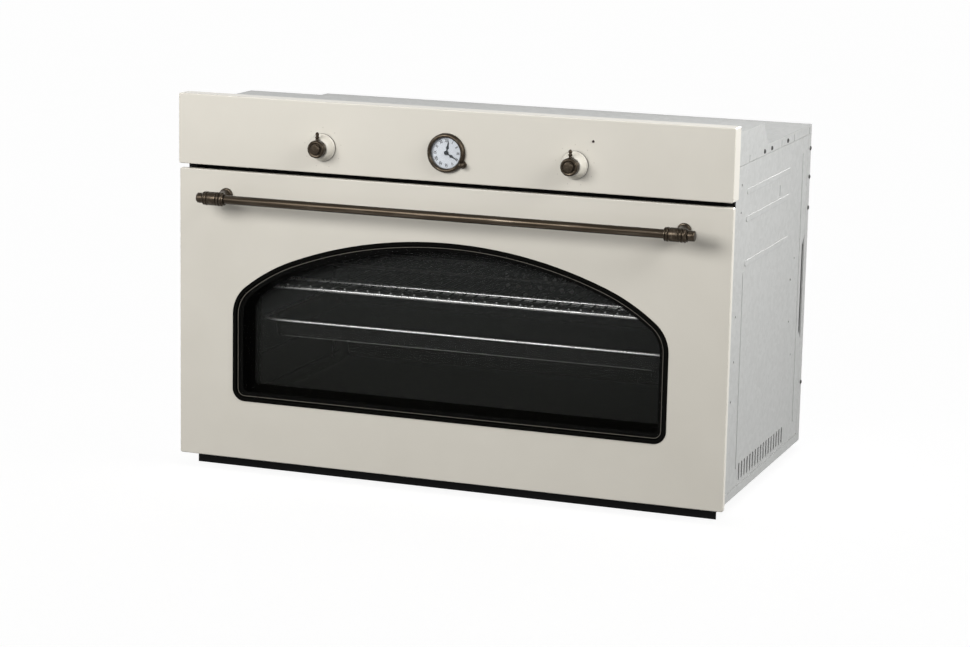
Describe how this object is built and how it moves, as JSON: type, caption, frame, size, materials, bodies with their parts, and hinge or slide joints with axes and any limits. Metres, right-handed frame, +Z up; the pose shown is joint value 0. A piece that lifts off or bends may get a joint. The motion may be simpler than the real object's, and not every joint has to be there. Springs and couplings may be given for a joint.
{
  "type": "built-in oven",
  "caption": "Built-in oven with a wide cream front, a drop-down door with an arched window, a bar handle, rotary knobs and an analogue clock.",
  "frame": {"origin": "on the plane the oven rests on, in the middle of the width and of the whole depth from handle to cable gland", "axes": "+Z up, +X to the right seen from the front, +Y to the back; the door opens towards -Y"},
  "size_m": [0.895, 0.607, 0.595],
  "materials": {
    "cream_enamel": "satin enamel",
    "bronze": "aged, brushed",
    "zinc_sheet": "zinc-coated, dull",
    "black_enamel": "satin",
    "cavity_enamel": "gloss enamel",
    "rubber_black": "matte",
    "tinted_glass": "dark tinted",
    "clear_glass": "clear",
    "lens_red": "gloss",
    "dial_white": "matte",
    "hand_black": "satin",
    "black_plastic": "matte",
    "chromed_wire": "polished",
    "element_steel": "oxidised",
    "plain_steel": "plain",
    "aluminium_fan": "plain",
    "white_ceramic": "matte",
    "mineral_wool": "matte fibre"
  },
  "bodies": {
    "casing": {"back_panel": "zinc_sheet", "base_pan": "zinc_sheet", "base_rails": "zinc_sheet", "bottom_element": "element_steel", "bottom_trim": "black_enamel", "cable_gland": "black_plastic", "casing_screws": "plain_steel", "cavity_back": "cavity_enamel", "cavity_shell": "cavity_enamel", "clock_bezel": "bronze", "clock_case": "black_plastic", "clock_dial": "dial_white", "clock_glass": "clear_glass", "control_box_cover": "zinc_sheet", "control_bracket": "zinc_sheet", "control_panel": "cream_enamel", "cooling_fan_case": "plain_steel", "cooling_fan_motor": "plain_steel", "door_seal": "rubber_black", "fan_cover": "cavity_enamel", "fan_motor": "plain_steel", "front_frame": "black_enamel", "function_switch": "black_plastic", "grill_element": "element_steel", "hinge_arms": "plain_steel", "indicator_lens": "lens_red", "insulation": "mineral_wool", "lamp_holder": "white_ceramic", "lamp_lens": "clear_glass", "left_side_panel": "zinc_sheet", "left_side_rack": "chromed_wire", "right_side_panel": "zinc_sheet", "right_side_rack": "chromed_wire", "thermostat_body": "black_plastic", "top_cover": "zinc_sheet"},
    "door": {"door_skin": "cream_enamel", "window_gasket": "rubber_black", "outer_glass": "tinted_glass", "inner_glass": "clear_glass", "door_liner": "black_enamel", "glass_clips": "plain_steel", "hinge_channels": "plain_steel", "hinge_pins": "plain_steel", "handle_bar": "bronze", "handle_brackets": "bronze", "handle_finials": "bronze", "handle_screws": "plain_steel"},
    "left_knob": {"left_knob_skirt": "cream_enamel", "left_knob_cap": "bronze", "left_spindle": "plain_steel"},
    "right_knob": {"right_knob_skirt": "cream_enamel", "right_knob_cap": "bronze", "right_spindle": "plain_steel"},
    "minute_hand": {"minute_hand": "hand_black"},
    "hour_hand": {"hour_hand": "hand_black"},
    "setting_knob": {"setting_knob": "bronze"},
    "convection_fan": {"convection_fan": "aluminium_fan"},
    "cooling_fan": {"cooling_fan_rotor": "aluminium_fan"},
    "wire_shelf": {"wire_shelf": "chromed_wire"},
    "baking_tray": {"baking_tray": "cavity_enamel"}
  },
  "joints": [
    {"name": "door_hinge", "type": "hinge", "parent": "casing", "child": "door", "pos_m": [0, -0.2345, 0.032], "axis": [1, 0, 0], "range_deg": [0, 90]},
    {"name": "left_knob_turn", "type": "hinge", "parent": "casing", "child": "left_knob", "pos_m": [-0.203, -0.2485, 0.525], "axis": [0, 1, 0], "range_deg": [0, 324]},
    {"name": "right_knob_turn", "type": "hinge", "parent": "casing", "child": "right_knob", "pos_m": [0.203, -0.2485, 0.525], "axis": [0, 1, 0], "range_deg": [0, 280]},
    {"name": "setting_knob_turn", "type": "hinge", "parent": "casing", "child": "setting_knob", "pos_m": [0.02643, -0.2485, 0.5138], "axis": [0, 1, 0], "continuous": true},
    {"name": "minute_hand_turn", "type": "hinge", "parent": "casing", "child": "minute_hand", "pos_m": [0, -0.2485, 0.53], "axis": [0, 1, 0], "continuous": true},
    {"name": "hour_hand_turn", "type": "hinge", "parent": "casing", "child": "hour_hand", "pos_m": [0, -0.2485, 0.53], "axis": [0, 1, 0], "continuous": true},
    {"name": "convection_fan_spin", "type": "hinge", "parent": "casing", "child": "convection_fan", "pos_m": [0, 0.1915, 0.27], "axis": [0, 1, 0], "continuous": true},
    {"name": "cooling_fan_spin", "type": "hinge", "parent": "casing", "child": "cooling_fan", "pos_m": [-0.04, 0.0895, 0.5108], "axis": [1, 0, 0], "continuous": true},
    {"name": "wire_shelf_slide", "type": "slide", "parent": "casing", "child": "wire_shelf", "axis": [0, -1, 0], "range_m": [0, 0.22]},
    {"name": "baking_tray_slide", "type": "slide", "parent": "casing", "child": "baking_tray", "axis": [0, -1, 0], "range_m": [0, 0.205]}
  ],
  "couplings": [
    {"joint": "minute_hand_turn", "follows": "setting_knob_turn", "ratio": 1},
    {"joint": "hour_hand_turn", "follows": "setting_knob_turn", "ratio": 0.083333},
    {"joint": "wire_shelf_slide", "follows": "door_hinge", "m_per_rad": 0.14},
    {"joint": "baking_tray_slide", "follows": "door_hinge", "m_per_rad": 0.13}
  ]
}
